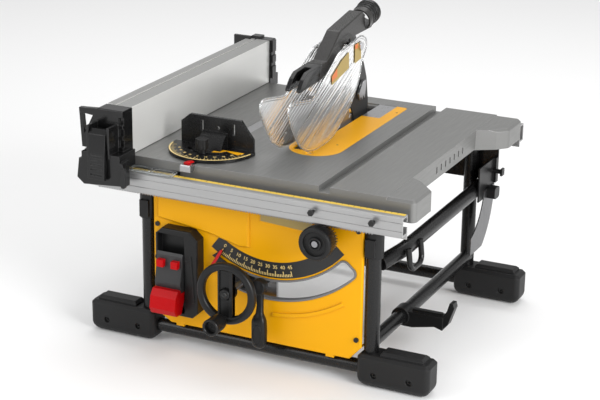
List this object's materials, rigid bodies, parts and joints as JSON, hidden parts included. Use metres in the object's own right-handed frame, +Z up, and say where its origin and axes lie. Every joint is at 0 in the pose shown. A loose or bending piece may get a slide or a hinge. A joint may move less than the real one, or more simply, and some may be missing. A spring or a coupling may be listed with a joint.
{
  "type": "table saw",
  "caption": "Compact table saw on a tube stand: tilting, rising blade, rip fence on rack-driven rails, mitre gauge, clear guards and a front handwheel.",
  "frame": {"origin": "on the floor under the middle of the saw's bounding box", "axes": "+X to the right of a person standing at the handwheel, +Y to the rear, +Z up, out of the table face"},
  "size_m": [0.607, 0.624, 0.5164],
  "materials": {
    "table_coat": "satin grey coat",
    "yellow_paint": "semi-gloss yellow",
    "yellow_moulding": "semi-gloss yellow",
    "black_plastic": "fine texture",
    "black_paint": "semi-gloss black",
    "black_foot": "textured",
    "grey_trim": "satin",
    "rail_metal": "brushed, anodised",
    "fence_metal": "anodised",
    "steel": "machined",
    "plated_steel": "plated",
    "blade_steel": "ground",
    "knife_steel": "ground",
    "cast_metal": "as cast",
    "motor_shell": "coated black",
    "clear_guard": "clear",
    "clear_window": "clear",
    "red_plastic": "gloss red",
    "pale_paddle": "textured",
    "gear_steel": "cut",
    "brass": "turned"
  },
  "bodies": {
    "stand": {"table_top": "table_coat", "throat_plate": "yellow_paint", "throat_rear_plate": "steel", "small_screws": "plated_steel", "tube_frame": "black_paint", "carry_handle": "black_paint", "feet": "black_foot", "leg_sleeves": "black_plastic", "front_panel": "yellow_moulding", "slot_trim": "grey_trim", "switch_box": "black_plastic", "trunnions": "cast_metal", "rear_panel": "black_paint", "storage_bracket": "black_plastic", "stored_knife": "knife_steel", "tool_hook": "black_plastic", "rail_mounts": "cast_metal", "scale_cursor": "clear_window"},
    "paddle": {"switch_paddle": "pale_paddle", "stop_plate": "red_plastic"},
    "rails": {"front_rail": "rail_metal", "rear_rail": "rail_metal", "racks": "gear_steel", "rail_pins": "steel", "fence_body": "fence_metal", "fence_front_head": "black_plastic", "fence_rear_head": "black_plastic"},
    "support": {"fence_support": "fence_metal"},
    "front_latch": {"fence_latch": "black_plastic"},
    "back_latch": {"rear_latch": "black_plastic"},
    "rack_drive": {"rack_shaft": "gear_steel", "rack_knob": "black_plastic"},
    "mitre_slider": {"mitre_bar": "steel"},
    "mitre_protractor": {"mitre_head": "black_plastic"},
    "mitre_lock": {"mitre_knob": "black_plastic"},
    "carriage": {"bevel_carriage": "steel", "guide_posts": "plated_steel", "bevel_pointer": "red_plastic"},
    "bevel_lock": {"lock_lever": "black_plastic"},
    "wheel": {"height_wheel": "black_plastic", "wheel_shaft": "gear_steel"},
    "crank": {"crank_knob": "black_plastic"},
    "screw": {"height_screw": "gear_steel"},
    "blade_unit": {"slide_frame": "cast_metal", "gearcase": "cast_metal", "motor_housing": "motor_shell", "blade_shroud": "black_plastic", "riving_knife": "knife_steel", "guard_arm": "black_plastic", "arm_nose": "black_plastic"},
    "blade": {"saw_blade": "blade_steel", "arbor_shaft": "steel", "drive_gear": "gear_steel", "arbor_hardware": "steel"},
    "rotor": {"motor_rotor": "gear_steel"},
    "pawls": {"kickback_pawls": "steel"},
    "pin": {"guard_pin": "plated_steel"},
    "bush": {"guard_bush": "brass"},
    "left_clear": {"left_guard": "clear_guard"},
    "right_clear": {"right_guard": "clear_guard"}
  },
  "joints": [
    {"name": "switch_press", "type": "hinge", "parent": "stand", "child": "paddle", "pos_m": [-0.1375, -0.223, 0.16], "axis": [1, 0, 0], "range_deg": [0, 8], "stiffness_Nm_per_rad": 1},
    {"name": "rail_extend", "type": "slide", "parent": "stand", "child": "rails", "axis": [1, 0, 0], "range_m": [-0.07, 0.028]},
    {"name": "rack_turn", "type": "hinge", "parent": "stand", "child": "rack_drive", "pos_m": [0.1275, -0.216, 0.24], "axis": [0, 1, 0], "range_deg": [-180, 90]},
    {"name": "support_flip", "type": "hinge", "parent": "rails", "child": "support", "pos_m": [-0.2497, -0.216, 0.329], "axis": [0, -1, 0], "range_deg": [0, 90]},
    {"name": "front_latch_lift", "type": "hinge", "parent": "rails", "child": "front_latch", "pos_m": [-0.2375, -0.264, 0.366], "axis": [-1, 0, 0], "range_deg": [0, 60]},
    {"name": "rear_latch_lift", "type": "hinge", "parent": "rails", "child": "back_latch", "pos_m": [-0.2305, 0.296, 0.384], "axis": [1, 0, 0], "range_deg": [0, 60]},
    {"name": "mitre_slide", "type": "slide", "parent": "stand", "child": "mitre_slider", "axis": [0, 1, 0], "range_m": [-0.09, 0.28]},
    {"name": "mitre_swing", "type": "hinge", "parent": "mitre_slider", "child": "mitre_protractor", "pos_m": [-0.1085, -0.134, 0.323], "axis": [0, 0, 1], "range_deg": [-60, 60]},
    {"name": "mitre_lock_turn", "type": "hinge", "parent": "mitre_slider", "child": "mitre_lock", "pos_m": [-0.1085, -0.172, 0.34], "axis": [0, 0, 1], "continuous": true},
    {"name": "bevel_tilt", "type": "hinge", "parent": "stand", "child": "carriage", "pos_m": [0.0275, 0.004, 0.32], "axis": [0, -1, 0], "range_deg": [0, 45]},
    {"name": "lock_swing", "type": "hinge", "parent": "carriage", "child": "bevel_lock", "pos_m": [0.0215, -0.216, 0.142], "axis": [0, -1, 0], "range_deg": [0, 60]},
    {"name": "wheel_turn", "type": "hinge", "parent": "carriage", "child": "wheel", "pos_m": [-0.0155, -0.216, 0.138], "axis": [0, -1, 0], "range_deg": [-2836, 1]},
    {"name": "crank_spin", "type": "hinge", "parent": "wheel", "child": "crank", "pos_m": [-0.0205, -0.286, 0.0955], "axis": [0, -1, 0], "continuous": true},
    {"name": "screw_turn", "type": "hinge", "parent": "carriage", "child": "screw", "pos_m": [-0.0155, -0.154, 0.22], "axis": [0, 0, -1], "range_deg": [-2836, 1]},
    {"name": "blade_height", "type": "slide", "parent": "carriage", "child": "blade_unit", "axis": [0, 0, 1], "range_m": [-0.063, 0]},
    {"name": "blade_spin", "type": "hinge", "parent": "blade_unit", "child": "blade", "pos_m": [0.0155, 0.034, 0.278], "axis": [1, 0, 0], "continuous": true},
    {"name": "motor_spin", "type": "hinge", "parent": "blade_unit", "child": "rotor", "pos_m": [-0.0725, 0.04839, 0.245], "axis": [1, 0, 0], "continuous": true},
    {"name": "pawl_swing", "type": "hinge", "parent": "blade_unit", "child": "pawls", "pos_m": [0.0155, 0.168, 0.374], "axis": [-1, 0, 0], "range_deg": [0, 40]},
    {"name": "guard_pin_turn", "type": "hinge", "parent": "blade_unit", "child": "pin", "pos_m": [0.0155, 0.096, 0.458], "axis": [-1, 0, 0], "range_deg": [0, 28.5]},
    {"name": "guard_bush_turn", "type": "hinge", "parent": "pin", "child": "bush", "pos_m": [-0.0045, 0.096, 0.458], "axis": [-1, 0, 0], "range_deg": [0, 34.5]},
    {"name": "left_guard_lift", "type": "hinge", "parent": "bush", "child": "left_clear", "pos_m": [-0.0075, 0.096, 0.458], "axis": [-1, 0, 0], "range_deg": [0, 45]},
    {"name": "right_guard_lift", "type": "hinge", "parent": "pin", "child": "right_clear", "pos_m": [0.0415, 0.096, 0.458], "axis": [-1, 0, 0], "range_deg": [0, 45]}
  ],
  "couplings": [
    {"joint": "rack_turn", "follows": "rail_extend", "rad_per_m": 44.444},
    {"joint": "wheel_turn", "follows": "blade_height", "rad_per_m": 785.4},
    {"joint": "screw_turn", "follows": "blade_height", "rad_per_m": 785.4},
    {"joint": "guard_pin_turn", "follows": "blade_height", "rad_per_m": -7.757},
    {"joint": "guard_bush_turn", "follows": "bevel_tilt", "ratio": 0.75556},
    {"joint": "motor_spin", "follows": "blade_spin", "ratio": -3}
  ]
}
